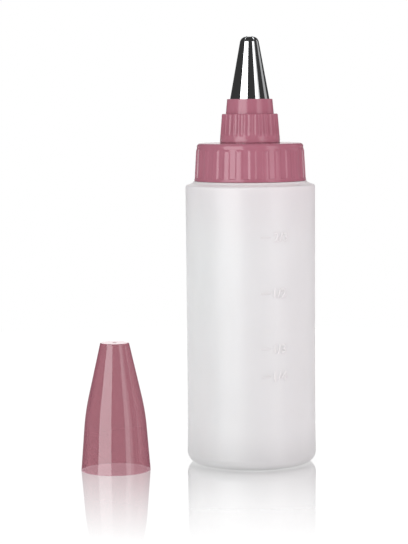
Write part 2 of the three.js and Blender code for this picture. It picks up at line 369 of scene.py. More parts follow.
# %% Material tool
def new_material(name, base, drift, gloss, dulled, ripple_depth, constants, drift_scale=60, stretch=1):
    """A material with drifting colour, handled gloss and a moulded skin."""
    material = bpy.data.materials.new(name)
    material.use_nodes = True
    tree = material.node_tree
    shader = tree.nodes["Principled BSDF"]
    for label, value in constants.items():
        shader.inputs[label].default_value = value
    drifting = {"Color": (*base, 1), "Drift Color": (*drift, 1), "Scale": drift_scale, "Stretch": stretch}
    tint = place_group(tree, colour_drift, drifting)
    touch = place_group(tree, handling, {"Gloss": gloss, "Dulled": dulled})
    skin = place_group(tree, moulded_skin, {})
    bump = add_node(tree, "Bump", {"Height": skin["Height"], "Distance": ripple_depth})
    tree.links.new(tint["Color"], shader.inputs["Base Color"])
    tree.links.new(touch["Roughness"], shader.inputs["Roughness"])
    tree.links.new(bump["Normal"], shader.inputs["Normal"])
    print("material:", name)
    return material


def colour_at_height(material, start, height, lower=None, upper=None, waver=0):
    """Gives a material another colour below or above a level. The side that isn't given stays as it is."""
    tree = material.node_tree
    base = tree.nodes["Principled BSDF"].inputs["Base Color"]
    before = base.links[0].from_socket
    sides = {"Lower Color": lower or before, "Upper Color": upper or before}
    blend = place_group(tree, height_blend, {**sides, "Start": start, "Height": height, "Waver": waver})
    tree.links.new(blend["Color"], base)


def copy_material(material, name):
    made = material.copy()
    made.name = name
    print("material:", name)
    return made


# %% [markdown]
# ** Milky bottle.** Low-density polyethylene lets light in and scatters it, so the bottle looks like frosted
# glass with milk behind it: nothing is seen through it, yet no shadow on it is hard. Subsurface scattering
# gives that softness. The skin is satin, so the lamps show in it only as wide, pale bands. Painted shade
# makes the foot a little darker, with an uneven upper limit. A painted reflection gives the top a trace of
# pink from the collar, and painted light makes the slope that the collar covers paler, as if light reached
# it through the wall. The raised marks are too thin to scatter light, so their copy of the material
# doesn't, and painted shade makes it a little greyer, so that their low relief shows.

# %% Milky bottle plastic
milky = new_material(
    "milky_plastic",
    base=(0.834, 0.836, 0.836),
    drift=(0.854, 0.856, 0.856),
    gloss=0.34,
    dulled=0.42,
    ripple_depth=0.03 * mm,
    constants={
        "Subsurface Weight": 0.6,
        "Subsurface Radius": (1.0, 0.96, 0.92),
        "Subsurface Scale": 3 * mm,
        "IOR": 1.51,
    },
    drift_scale=25,
    stretch=0.3,
)
# Painted shade: the foot of the bottle is darker, with an uneven upper limit.
foot_painted_shade = (0.69, 0.692, 0.692, 1)
# Painted reflection: a trace of the pink collar on the top of the bottle.
top_painted_reflection = (0.81, 0.775, 0.785, 1)
# Painted light: the slope under the collar is paler.
slope_painted_light = (0.94, 0.885, 0.887, 1)
painted_light_waver = 6 * mm
# Painted shade darkens the foot.
colour_at_height(milky, start=0, height=18 * mm, lower=foot_painted_shade, waver=painted_light_waver)
# Painted reflection of the collar on the top.
colour_at_height(milky, start=80 * mm, height=30 * mm, upper=top_painted_reflection, waver=painted_light_waver)
# Painted light on the slope that the collar covers.
colour_at_height(milky, start=107 * mm, height=0.6 * mm, upper=slope_painted_light)

# %% Plastic of the marks
# Painted shade: the marks are a little greyer than the wall, so their low relief shows.
mark_painted_shade = (0.755, 0.745, 0.75, 1)
mark_painted_shade_drift = (0.795, 0.785, 0.79, 1)
milky_marks = copy_material(milky, "milky_marks")
milky_marks.node_tree.nodes["Principled BSDF"].inputs["Subsurface Weight"].default_value = 0
for node in milky_marks.node_tree.nodes:
    if "Drift Color" in node.inputs:
        node.inputs["Color"].default_value = mark_painted_shade
        node.inputs["Drift Color"].default_value = mark_painted_shade_drift

# %% [markdown]
# **Pink closure.** The collar and the ring nut are pigmented polypropylene from polished moulds: an even,
# dusty pink with a clear gloss. A trace of scattering keeps its thin edges from looking painted.

# %% Pink plastic
pink = new_material(
    "pink_plastic",
    base=(0.395, 0.145, 0.195),
    drift=(0.42, 0.157, 0.211),
    gloss=0.14,
    dulled=0.2,
    ripple_depth=0.006 * mm,
    constants={
        "Subsurface Weight": 0.1,
        "Subsurface Radius": (1.0, 0.45, 0.5),
        "Subsurface Scale": 0.6 * mm,
        "IOR": 1.49,
    },
)

# %% [markdown]
# ** Ring nut.** The foot of the ring nut is a thin lip close over the pink collar. Painted light makes it a
# little paler than the rest, standing in for light that comes through it and back from the collar.

# %% Ring nut plastic
ring_pink = copy_material(pink, "ring_plastic")
# Painted light: the lip at the foot of the ring is paler.
lip_painted_light = (0.52, 0.205, 0.27, 1)
colour_at_height(ring_pink, start=foot_of("ring_nut").z, height=5 * mm, lower=lip_painted_light)

# %% [markdown]
# ** Clear pink overcap.** The overcap is tinted but clear, so the far rim shows through the near wall. A line
# of sight through its middle meets four surfaces, and one at its very edge meets only two, so the edges
# would come out pale if every surface tinted the light. Here only the outer surface is tinted, and the
# inner one is clear: each line of sight meets the outer surface twice, and the colour is even, as it is in
# the cloudy plastic of the photograph. Where the wall is seen edge on, a painted shade deepens the tint,
# standing in for the longer way that light has through the wall there.
#
# The gloss is a coat, which mirrors the lamps and bends nothing. It is there only from outside, and fades
# where the wall is seen edge on, where a real coat would mirror the whole studio and hide the tint. The
# flat top keeps it. Shadows and scattered light pass both materials almost freely, as they pass thin
# plastic, so the overcap doesn't darken the bottle beside it.

# %% Overcap plastic
clear = {"Transmission Weight": 0.95, "IOR": 1.01}
overcap_pink = new_material(
    "overcap_plastic",
    base=(0.375, 0.142, 0.178),
    drift=(0.39, 0.151, 0.188),
    gloss=0.05,
    dulled=0.09,
    ripple_depth=0.004 * mm,
    constants={**clear, "Coat Roughness": 0.05, "Coat IOR": 1.6},
)
overcap_inside = new_material(
    "overcap_inside",
    base=(0.96, 0.94, 0.94),
    drift=(0.93, 0.90, 0.91),
    gloss=0.06,
    dulled=0.1,
    ripple_depth=0.004 * mm,
    constants=clear,
)

# %% Coat and edges of the overcap
coat_fade = (0.22, 0.42)
edge_fade = (0.35, 0.7)
flat_top_fade = (0.6, 0.9)
# Painted shade: the tint is deeper where the side is seen edge on.
edge_painted_shade = (0.72, 0.68, 0.72, 1)
tree = overcap_pink.node_tree
inputs = tree.nodes["Principled BSDF"].inputs
surface = add_node(tree, "NewGeometry")
facing = add_node(tree, "LayerWeight")["Facing"]
upwards = add_node(tree, "SeparateXYZ", {0: surface["Normal"]})["Z"]
outside = calculate(tree, "SUBTRACT", 1, surface["Backfacing"])
coated = calculate(tree, "MAXIMUM", remap(tree, facing, *coat_fade, 1, 0), upwards)
tree.links.new(calculate(tree, "MULTIPLY", outside, coated), inputs["Coat Weight"])
# Painted shade deepens the tint where the side is seen edge on, but not on the flat top.
on_side = remap(tree, upwards, *flat_top_fade, 1, 0)
edge = calculate(tree, "MULTIPLY", remap(tree, facing, *edge_fade), on_side)
painted_edge_shade = mix_colours(tree, edge, inputs["Base Color"].links[0].from_socket, edge_painted_shade, "MULTIPLY")
tree.links.new(painted_edge_shade, inputs["Base Color"])
print("tint of the overcap's edges:", edge_painted_shade[:3])

# %% Light through the overcap
shadow_share = 0.08
for clear_plastic in (overcap_pink, overcap_inside):
    tree = clear_plastic.node_tree
    path = add_node(tree, "LightPath")
    passing = calculate(tree, "MAXIMUM", path["Is Shadow Ray"], path["Is Diffuse Ray"])
    cover = remap(tree, passing, 0, 1, 1, shadow_share)
    tree.links.new(cover, tree.nodes["Principled BSDF"].inputs["Alpha"])
print("shadow of the overcap:", shadow_share)

# %% [markdown]
# **Steel.** The nozzle is stainless sheet, drawn to a cone and polished. Nearly all of its look is what it
# mirrors, so its own colour is a plain light grey and its roughness is low.

# %% Steel
steel = new_material(
    "polished_steel",
    base=(0.78, 0.79, 0.80),
    drift=(0.74, 0.75, 0.76),
    gloss=0.05,
    dulled=0.09,
    ripple_depth=0.002 * mm,
    constants={"Metallic": 1},
    drift_scale=200,
)

# %% [markdown]
# **Seal.** The washer that lies on the rim of the neck is soft, white and matt.

# %% Seal material
seal_white = new_material(
    "seal_plastic",
    base=(0.84, 0.82, 0.78),
    drift=(0.80, 0.78, 0.74),
    gloss=0.55,
    dulled=0.7,
    ripple_depth=0.05 * mm,
    constants={"IOR": 1.45},
    drift_scale=300,
)

# %% [markdown]
# ## The bottle
# The real bottle is blow moulded: a soft tube is blown against a mould, which leaves one thin wall
# everywhere, round corners, a slightly domed underside and a faint waist where the wall has shrunk. One
# outline draws the outside from the middle of the base up to the rim, and the same outline, one wall
# inwards, comes back down. The neck is thicker, because it is formed round a pin, and has its thread.
# A low bead at the foot of the neck is what the collar comes down on.

# %% Bottle sizes
body_height = 107.35 * mm
body_wall = 0.9 * mm
base_corner = 4.2 * mm
standing_ring = 3 * mm
push_up = 2 * mm
shoulder_corner = 1 * mm
shoulder_width = 3.8 * mm
land_rise = 1.1 * mm
land_run = 2.9 * mm
neck_radius = 17.5 * mm
neck_wall = 1.6 * mm
neck_rim_round = 0.4 * mm
neck_root_round = 0.5 * mm
bead_rise = 0.25 * mm
bead_half_width = 0.65 * mm
bead_middle = radius_of("screw_collar") - 0.3 * mm
dome_steps = 12
side_steps = 40
slope_steps = 8
base_corner_steps = 14
bottle_columns = 192
waist_depth = 0.17 * mm
waist_foot = 6 * mm
bottle_place = foot_of("bottle_body")


def waist(height):
    """How far the side is drawn in at a height: most near the lower third, and nothing at both ends."""
    share = (height - waist_foot) / (body_height - waist_foot)
    return waist_depth * math.sin(math.pi * math.sqrt(min(max(share, 0), 1)))


# %% Bottle mesh
def bottle_outline():
    dome_radius = body_radius - base_corner - standing_ring
    dome = [(r, push_up * (1 - (r / dome_radius) ** 2)) for r in spaced(0, dome_radius, dome_steps)]
    land = body_radius - shoulder_width
    land_height = body_height + land_rise
    side_top = body_height - shoulder_corner
    side = [(body_radius - waist(h), h) for h in spaced(base_corner, side_top, side_steps)[1:-1]]
    rise = straight((land + land_run, body_height), (land, land_height), slope_steps)
    slope = [(r, h) for r, h in rise if r > bead_middle + bead_half_width]
    bead = [
        (bead_middle + bead_half_width * math.cos(turn), land_height + bead_rise * math.sin(turn))
        for turn in spaced(0, math.pi, slope_steps)
    ]
    bore = neck_radius - neck_wall
    inner_radius = body_radius - body_wall
    return [
        *dome,
        *corner(body_radius, 0, base_corner, -90, 0, base_corner_steps),
        *side,
        *corner(body_radius, body_height, shoulder_corner, 0, 90),
        *slope,
        *bead,
        *corner(neck_radius, land_height, neck_root_round, 270, 180),
        *corner(neck_radius, neck_rim_height, neck_rim_round, 0, 90),
        *corner(bore, neck_rim_height, neck_rim_round, 90, 180),
        (bore, land_height - body_wall),
        *[(r, h - body_wall) for r, h in reversed(rise)],
        *corner(inner_radius, body_height - body_wall, shoulder_corner, 90, 0),
        *[(r - body_wall, h) for r, h in reversed(side)],
        *corner(inner_radius, body_wall, base_corner - body_wall, 0, -90, base_corner_steps),
        *[(r, h + body_wall) for r, h in reversed(dome)],
    ]


bottle_mesh = spin(bottle_outline(), even_bearings(bottle_columns), closed=False)

# %% [markdown]
# The neck's thread makes a turn and a half. Its crest stays 0.4 mm clear of the collar's bore.

# %% Neck thread
neck_thread_start = body_height + land_rise + 3.1 * mm
neck_thread = dict(rise=1.2 * mm, foot_width=1.5 * mm, crest_width=0.7 * mm, pitch=4.2 * mm, turns=1.5)
add_thread(bottle_mesh, neck_radius, neck_thread_start, **neck_thread)
add_piece("milky_bottle", bottle_mesh, bottle_place, "bottle", milky, ["bottle_body"])

# %% [markdown]
# ## The measure on the bottle
# Four raised ticks stand at a quarter, a third, a half and two thirds of a cup, each with its fraction to
# the right of it. They are part of the wall on the real bottle, so they have its material, and they stand
# out less than a fifth of a millimetre. A tick is a short bar bent round the wall. The numerals are text,
# turned into a mesh and bent round the wall in the same way.

# %% Scale sizes
mark_relief = 0.17 * mm
mark_sunk = 0.3 * mm
cup_height = 126 * mm
zero_height = 4.45 * mm
fractions = {"1/4": 1 / 4, "1/3": 1 / 3, "1/2": 1 / 2, "2/3": 2 / 3}
tick_length = 3.8 * mm
tick_height = 0.5 * mm
tick_bearing = math.radians(11.8)
numeral_bearing = math.radians(19)
numeral_height = 3.7 * mm
numeral_bevel = 0.1 * mm
weld_distance = 0.001 * mm


def mark_height(share):
    return zero_height + cup_height * share


def on_wall(along, height, proud):
    """A point on the bottle's wall: so far along it from the front, at a height, and so far proud of it."""
    return round_point(along / body_radius, body_radius - waist(height) + proud, height)


# %% Ticks
tick_steps = 10
tick_mesh = bmesh.new()
tick_edge = tick_height / 2
tick_round = mark_relief / 2
tick_corners = [
    (-tick_edge, -mark_sunk),
    (-tick_edge, mark_relief - tick_round),
    (-tick_edge + tick_round, mark_relief),
    (tick_edge - tick_round, mark_relief),
    (tick_edge, mark_relief - tick_round),
    (tick_edge, -mark_sunk),
]
tick_start = tick_bearing * body_radius - tick_length / 2
tick_columns = spaced(tick_start, tick_start + tick_length, tick_steps)
for share in fractions.values():
    middle = mark_height(share)
    sections = [[on_wall(a, middle + up, proud) for up, proud in tick_corners] for a in tick_columns]
    sweep(tick_mesh, sections)
bmesh.ops.recalc_face_normals(tick_mesh, faces=tick_mesh.faces)
add_piece("cup_ticks", tick_mesh, bottle_place, "bottle", milky_marks)

# %% Numerals
def flat_numeral(label):
    """A fraction as a bmesh that lies flat."""
    curve = bpy.data.curves.new(label, "FONT")
    curve.body = label
    curve.size = numeral_height
    curve.extrude = (mark_relief + mark_sunk) / 2 - numeral_bevel
    curve.bevel_depth = numeral_bevel
    text = add_object("text", curve)
    bpy.context.view_layer.update()
    seen = text.evaluated_get(bpy.context.evaluated_depsgraph_get())
    mesh = bpy.data.meshes.new_from_object(seen)
    bm = bmesh.new()
    bm.from_mesh(mesh)
    bpy.data.objects.remove(text)
    bpy.data.curves.remove(curve)
    bpy.data.meshes.remove(mesh)
    bmesh.ops.remove_doubles(bm, verts=bm.verts, dist=weld_distance)
    return bm


numeral_mesh = bmesh.new()
for label, share in fractions.items():
    flat = flat_numeral(label)
    left = min(v.co.x for v in flat.verts)
    low = min(v.co.y for v in flat.verts)
    high = max(v.co.y for v in flat.verts)
    scale = numeral_height / (high - low)
    for v in flat.verts:
        along = numeral_bearing * body_radius + (v.co.x - left) * scale
        up = (v.co.y - (low + high) / 2) * scale
        proud = v.co.z + (mark_relief - mark_sunk) / 2
        v.co = on_wall(along, mark_height(share) + up, proud)
    bent = new_mesh(label, flat)
    numeral_mesh.from_mesh(bent)
    bpy.data.meshes.remove(bent)
add_piece("cup_numerals", numeral_mesh, bottle_place, "bottle", milky_marks)

# %% [markdown]
# ## The seal
# A flat washer lies in the top of the collar and is pressed on the rim of the neck. Only its edges need
# care: they are cut, so their corners are small.

# %% Seal
seal_corner = 0.12 * mm
seal_outer = radius_of("collar_seal")
seal_inner = neck_radius - neck_wall - 0.5 * mm
seal_thickness = height_of("collar_seal")
seal_outline = [
    *corner(seal_outer, 0, seal_corner, -90, 0, 3),
    *corner(seal_outer, seal_thickness, seal_corner, 0, 90, 3),
    *corner(seal_inner, seal_thickness, seal_corner, 90, 180, 3),
    *corner(seal_inner, 0, seal_corner, 180, 270, 3),
]
seal_columns = 96
seal_mesh = spin(seal_outline, even_bearings(seal_columns))
seal_place = foot_of("collar_seal")
add_piece("seal_washer", seal_mesh, seal_place, "seal", seal_white, ["collar_seal"])

# %% [markdown]
# ## The screw collar
# The skirt has 26 shallow upright recesses, and the ribs that are left between them give the grip. They
# could be cut with 26 boxes. Here the outline is turned with its columns of points set exactly at the
# edges of each recess, and the points inside a recess are moved in. That keeps clean faces, and each
# edge gets a narrow slope of its own that catches the light. On top, a low raised ring round the spout is
# the seat that the ring nut is screwed down to.

# %% Collar sizes
collar_height = 14.35 * mm
collar_bore = neck_radius + 1.6 * mm
collar_top_radius = collar_bore + 1.65 * mm
collar_bottom_radius = collar_top_radius + 0.6 * mm
collar_top_wall = 1.8 * mm
collar_edge = 1.2 * mm
lip_radius = radius_of("screw_collar")
lip_height = 0.7 * mm
lip_top = lip_height + lip_radius - collar_bottom_radius
band_radius = collar_top_radius - 0.35 * mm
rib_top = collar_height - 2 * mm
rib_head = rib_top - 0.9 * mm
recess_count = 26
recess_share = 0.52
recess_edge_share = 0.08
recess_depth = 0.25 * mm
recess_foot = 1.1 * mm
recess_slope = 0.25 * mm
recess_turn = math.radians(1.1)
nozzle_base_radius = radius_of("star_nozzle")
spout_radius = nozzle_base_radius - 0.11 * mm
spout_shoulder = collar_height + 9.1 * mm
spout_wall = 1.9 * mm
spout_tip_wall = 1.5 * mm
small_round = 0.25 * mm
tip_round = 0.3 * mm
foot_chamfer = 0.2 * mm
lip_chamfer = 0.15 * mm
seat_rise = 0.2 * mm
seat_round = 0.08 * mm
seat_outer = radius_of("ring_nut") + 0.12 * mm
seat_inner = spout_radius + 0.6 * mm
nozzle_taper = math.radians(10.3)
nozzle_wall = 0.45 * mm
seat_gap = 0.3 * mm
cone_gap = 0.3 * mm


def nozzle_radius(height):
    """The nozzle's outer radius at a height above its base."""
    return nozzle_base_radius - height * math.tan(nozzle_taper)


def nozzle_bore(height):
    return nozzle_radius(height) - nozzle_wall / math.cos(nozzle_taper)


# %% Collar mesh
def ramp(value, start, end):
    """0 before start, 1 after end, and a soft step between them."""
    share = min(max((value - start) / (end - start), 0), 1)
    return share * share * (3 - 2 * share)


recess_pitch = full_turn / recess_count
half_recess = recess_share / 2
plain_shares = [-0.12, 0, 0.12, 0.38, 0.5]


def recess_bearings():
    """Columns of points: close together at the two edges of each recess and wide apart elsewhere."""
    reaches = [-recess_edge_share, -recess_edge_share / 3, recess_edge_share / 3, recess_edge_share]
    edges = [half_recess + reach for reach in reaches]
    offsets = sorted([-edge for edge in edges] + edges + plain_shares)
    start = recess_pitch / 2 + recess_turn
    return [start + recess_pitch * (i + share) for i in range(recess_count) for share in offsets]


def rib_radius(height):
    """How far out the ribs reach at a height. They lean in a little, for the mould to let go of them."""
    climb = (height - lip_top) / (rib_head - lip_top)
    return collar_bottom_radius + (collar_top_radius - collar_bottom_radius) * climb


def carve_recess(bearing, radius, height):
    """Sinks the recesses between the ribs. Each ends where the ribs slope in to the plain band above."""
    if radius < band_radius or not recess_foot < height < rib_top:
        return radius
    turned = (bearing - recess_turn) / recess_pitch
    off_centre = abs(turned % 1 - 0.5)
    across = 1 - ramp(off_centre, half_recess - recess_edge_share, half_recess + recess_edge_share)
    upwards = ramp(height, recess_foot, recess_foot + recess_slope)
    return min(radius, rib_radius(height) - recess_depth * across * upwards)


def collar_outline():
    tip = height_of("screw_collar")
    under_top = collar_height - collar_top_wall
    cone_foot = nozzle_bore(-seat_gap) - cone_gap
    cone_tip = nozzle_bore(tip - spout_shoulder - seat_gap) - cone_gap
    recess_full = recess_foot + recess_slope
    rows = spaced(recess_foot, recess_full, 4) + spaced(recess_full, rib_head, 6)[1:]
    return [
        *corner(collar_bore, 0, foot_chamfer, 180, 270, 1),
        *corner(lip_radius, 0, foot_chamfer, -90, 0, 1),
        *corner(lip_radius, lip_height, lip_chamfer, 0, 90, 1),
        (collar_bottom_radius, lip_top),
        *[(rib_radius(h), h) for h in rows],
        *straight((collar_top_radius, rib_head), (band_radius, rib_top), 12)[1:],
        *corner(band_radius, collar_height, collar_edge, 0, 90, 10),
        (seat_outer, collar_height),
        *corner(seat_outer, collar_height + seat_rise, seat_round, 0, 90, 3),
        (seat_inner, collar_height + seat_rise),
        (seat_inner, collar_height),
        *corner(spout_radius, collar_height, small_round, 270, 180, 4),
        *corner(spout_radius, spout_shoulder, small_round, 0, 90, 4),
        (cone_foot, spout_shoulder),
        *corner(cone_tip, tip, tip_round, 0, 90, 4),
        (cone_tip - spout_tip_wall, tip),
        (spout_radius - spout_wall, under_top),
        (collar_bore, under_top),
    ]


collar_mesh = spin(collar_outline(), recess_bearings(), carve_recess)

# %% [markdown]
# The collar carries two threads: one inside its skirt for the neck, and one outside the spout for the ring
# nut. The ridge inside the skirt starts a third of a turn on and half a pitch below the neck's.

# %% Collar threads
collar_place = foot_of("screw_collar")
neck_thread_level = neck_thread_start - collar_place.z
add_thread(collar_mesh, collar_bore, neck_thread_level, **neck_thread, inner=True)
spout_thread_start = collar_height + 1.9 * mm
spout_thread = dict(rise=0.7 * mm, foot_width=1.2 * mm, crest_width=0.6 * mm, pitch=4.5 * mm, turns=1.35)
add_thread(collar_mesh, spout_radius, spout_thread_start, **spout_thread)
add_piece("ribbed_collar", collar_mesh, collar_place, "collar", pink, ["screw_collar"])

# %% [markdown]
# ## The ring nut
# Thirty flutes run up the ring's skirt. A flute is the groove that a round-nosed cutter leaves, so its
# section is part of a circle, and at its foot it grows shallower and narrower until it ends in a scoop.
# Above the skirt a smooth hood holds the nozzle.

# %% Ring sizes
ring_place = foot_of("ring_nut")
ring_height = height_of("ring_nut")
ring_bottom_radius = radius_of("ring_nut")
ring_bore = spout_radius + 1 * mm
ring_draft = 0.8 * mm
ring_rim_height = 1 * mm
ring_skirt_height = 10.85 * mm
ring_bore_height = 7.8 * mm
ring_edge = 0.4 * mm
hood_gap = 0.2 * mm
hood_foot_wall = 0.41 * mm
hood_round = 0.1 * mm
hood_top_wall = 0.935 * mm
hood_edge = 0.25 * mm
hood_chamfer = 0.1 * mm
flute_count = 30
flute_radius = 1.4 * mm
flute_depth = 0.31 * mm
flute_foot = 2.4 * mm
flute_scoop = 1.3 * mm
flute_lip = 0.03 * mm
columns_per_flute = 20


# %% Ring mesh
def carve_flute(bearing, radius, height):
    if radius < ring_bottom_radius - ring_draft - 2 * ring_edge or height < flute_foot:
        return radius
    pitch = full_turn / flute_count
    aside = ((bearing / pitch) % 1 - 0.5) * pitch * radius
    climb = min((height - flute_foot) / flute_scoop, 1)
    depth = flute_depth * math.sqrt(1 - (1 - climb) ** 2)
    if abs(aside) >= flute_radius:
        return radius
    into = depth - (flute_radius - math.sqrt(flute_radius**2 - aside**2))
    return radius - (into + math.hypot(into, flute_lip)) / 2


def ring_outline():
    seat = foot_of("star_nozzle").z - ring_place.z
    cone_bottom = nozzle_radius(ring_bore_height + hood_gap - seat) + hood_gap
    cone_top = nozzle_radius(ring_height - seat) + hood_gap
    hood_foot = nozzle_radius(ring_skirt_height - seat) + hood_gap + hood_foot_wall
    hood_top = cone_top + hood_top_wall
    edge_foot = ring_skirt_height - ring_edge
    flute_full = flute_foot + flute_scoop
    flute_rows = spaced(flute_foot, flute_full, 12) + spaced(flute_full, edge_foot, 8)[1:]
    lean = ring_draft / (ring_skirt_height - ring_rim_height)
    skirt = [(ring_bottom_radius - lean * (h - ring_rim_height), h) for h in [ring_rim_height, *flute_rows]]
    skirt_top = skirt.pop()[0]
    return [
        *corner(ring_bore, 0, foot_chamfer, 180, 270, 1),
        *corner(ring_bottom_radius, 0, seat_round, -90, 0, 3),
        *skirt,
        *corner(skirt_top, ring_skirt_height, ring_edge, 0, 90),
        *corner(hood_foot, ring_skirt_height, hood_round, 270, 180, 4),
        *corner(hood_top, ring_height, hood_edge, 0, 90, 5),
        *corner(cone_top, ring_height, hood_chamfer, 90, 180, 1),
        (cone_bottom, ring_bore_height + hood_gap),
        (ring_bore, ring_bore_height - (ring_bore - cone_bottom)),
    ]


ring_mesh = spin(ring_outline(), even_bearings(flute_count * columns_per_flute), carve_flute)
spout_thread_level = collar_place.z + spout_thread_start - ring_place.z
add_thread(ring_mesh, ring_bore, spout_thread_level, **spout_thread, inner=True)
add_piece("fluted_ring", ring_mesh, ring_place, "ring", ring_pink, ["ring_nut"])

# %% [markdown]
# ## The star nozzle
# The nozzle starts as a cone of thin sheet. Its narrow end is cut into six teeth, which are bent in until
# they nearly meet. A boolean cut would leave ragged shading on polished steel, so each tooth is a sixth of
# the cone in its own right: its two edges lie against its neighbours' up to where the notch starts, and
# draw apart from there. Points that lie on each other are then merged.

# %% Nozzle sizes
nozzle_place = foot_of("star_nozzle")
nozzle_height = height_of("star_nozzle")
tooth_count = 6
star_opening = 0.935 * mm
notch_setback = 0.29 * mm
notch_inner = 0.475 * mm
notch_outer = 0.09 * mm
tooth_bend = (nozzle_radius(nozzle_height) - star_opening) / (
    math.cos(nozzle_taper) - (1 - math.sin(nozzle_taper)) * math.tan(nozzle_taper)
)
bend_height = nozzle_height - tooth_bend
notch_reach = star_opening + tooth_bend * math.cos(nozzle_taper) - notch_setback
cone_steps = 30
bend_steps = 32
tooth_columns = 24
notch_start = (-0.02, 0.06)
print(f"teeth bend round {tooth_bend / mm:.2f} mm")


# %% Nozzle mesh
def nozzle_rows():
    """(outer point, inner point) pairs from the base to the opening."""
    cone_top = bend_height + tooth_bend * math.sin(nozzle_taper)
    heights = spaced(0, cone_top, cone_steps)[:-1]
    rows = [((nozzle_radius(h), h), (nozzle_bore(h), h)) for h in heights]
    for angle in spaced(nozzle_taper, math.pi / 2, bend_steps):
        bends = (tooth_bend, tooth_bend - nozzle_wall)
        rows.append(
            [(star_opening + bend * math.cos(angle), bend_height + bend * math.sin(angle)) for bend in bends]
        )
    return rows


def tooth_half_angle(radius):
    """Half of a tooth's spread at a radius: a full sixth below the notch, less above it."""
    full = math.pi / tooth_count
    if radius >= notch_reach:
        return full
    share = (notch_reach - radius) / (notch_reach - star_opening)
    half_width = notch_outer + (notch_inner - notch_outer) * share
    return full - math.asin(half_width / radius) * ramp(share, *notch_start)


def add_sheet(bm, lines):
    """Faces between neighbouring lines of points."""
    for lower, upper in zip(lines, lines[1:]):
        for i in range(len(lower) - 1):
            bm.faces.new((lower[i], lower[i + 1], upper[i + 1], upper[i]))


def add_tooth(bm, middle):
    outside, inside, notched = [], [], []
    for outer, inner in nozzle_rows():
        half = tooth_half_angle(outer[0])
        bearings = spaced(middle - half, middle + half, tooth_columns)
        for sheet, point in ((outside, outer), (inside, inner)):
            sheet.append(add_line(bm, [round_point(b, *point) for b in bearings]))
        notched.append(half < math.pi / tooth_count)
    add_sheet(bm, outside)
    add_sheet(bm, inside)
    add_sheet(bm, [outside[0], inside[0]])
    add_sheet(bm, [outside[-1], inside[-1]])
    first = notched.index(True) - 1
    for side in (0, -1):
        edges = [[line[side] for line in sheet[first:]] for sheet in (outside, inside)]
        add_sheet(bm, edges)


nozzle_mesh = bmesh.new()
for tooth in range(tooth_count):
    add_tooth(nozzle_mesh, full_turn * tooth / tooth_count)
bmesh.ops.remove_doubles(nozzle_mesh, verts=nozzle_mesh.verts, dist=weld_distance)
bmesh.ops.recalc_face_normals(nozzle_mesh, faces=nozzle_mesh.faces)
add_piece("steel_star", nozzle_mesh, nozzle_place, "nozzle", steel, ["star_nozzle"])

# %% [markdown]
# ## The overcap
# The overcap is a thin cone with a soft knee. It is clear, so its inside matters as much as its outside:
# the wall is even, and the top has the small dimple where the plastic entered the mould.

# %% Overcap sizes
overcap_place = foot_of("overcap")
overcap_height = height_of("overcap")
overcap_mouth_radius = radius_of("overcap")
overcap_top_radius = 5.45 * mm
overcap_wall = 1.2 * mm
knee_height = 22.5 * mm
knee_radius = overcap_mouth_radius - 1.8 * mm
knee_blend = 6 * mm
overcap_edge = 0.4 * mm
gate_radius = 0.8 * mm
gate_depth = 0.3 * mm
gate_rim = 0.1 * mm
gate_rim_depth = 0.05 * mm
mouth_round = 0.15 * mm
overcap_steps = 48
overcap_columns = 144


# %% Overcap mesh
def overcap_radius(height):
    """The overcap's outer radius: two straight tapers, with a soft bend at the knee."""
    upper_slope = (overcap_top_radius - knee_radius) / (overcap_height - knee_height)
    lower_slope = (knee_radius - overcap_mouth_radius) / knee_height
    past_knee = height - knee_height
    if past_knee >= knee_blend:
        return knee_radius + upper_slope * past_knee
    radius = knee_radius + lower_slope * past_knee
    if past_knee > -knee_blend:
        bend = (past_knee + knee_blend) / (2 * knee_blend)
        radius += (upper_slope - lower_slope) * bend * bend * knee_blend
    return radius


def overcap_side(inset, top):
    """Points up the side to a height, so far inside the outer face."""
    return [(overcap_radius(h) - inset, h) for h in spaced(0, top, overcap_steps)]


def overcap_outline():
    outside = overcap_side(0, overcap_height - overcap_edge)
    inside = overcap_side(overcap_wall, overcap_height - overcap_wall - overcap_edge)
    outer_edge = outside[-1][0]
    inner_edge = inside[-1][0]
    top = overcap_height
    under_top = overcap_height - overcap_wall
    mouth = outside[0][0]
    return [
        (0, under_top),
        *corner(inner_edge, under_top, overcap_edge, 90, 0),
        *reversed(inside[1:-1]),
        *corner(mouth - overcap_wall, 0, mouth_round, 180, 270, 4),
        *corner(mouth, 0, mouth_round, -90, 0, 4),
        *outside[1:-1],
        *corner(outer_edge, top, overcap_edge, 0, 90),
        (gate_radius + gate_rim, top),
        (gate_radius, top - gate_rim_depth),
        (gate_radius / 2, top - gate_depth),
        (0, top - gate_depth),
    ]


overcap_mesh = spin(overcap_outline(), even_bearings(overcap_columns), closed=False)
side_depth = 0.5 * overcap_wall
top_depth = 0.9 * overcap_wall
for face in overcap_mesh.faces:
    middle = face.calc_center_median()
    under_side = overcap_radius(middle.z) - math.hypot(middle.x, middle.y) > side_depth
    under_top = middle.z < overcap_height - top_depth
    face.material_index = int(under_side and under_top)
overcap = add_piece(
    "clear_overcap", overcap_mesh, overcap_place, "overcap", overcap_pink, ["overcap"]
)
overcap.data.materials.append(overcap_inside)
inner_faces = sum(face.material_index for face in overcap.data.polygons)
print(inner_faces, "faces of the overcap are its clear inside")

# %% [markdown]
# ## The floor
# The photograph was taken on glossy white. The floor is pale and plain: a matt white that keeps the
# shadows, and a sharp mirror that is strongest beside the pieces and fades out within a hand's width, so
# each piece stands on its own pale reflection. Like any gloss, it weakens where it is looked at from
# above. For the camera the floor also shines a little, so that an open stretch of it is white. The pieces
# don't mirror the floor: low cards further down stand in for it.

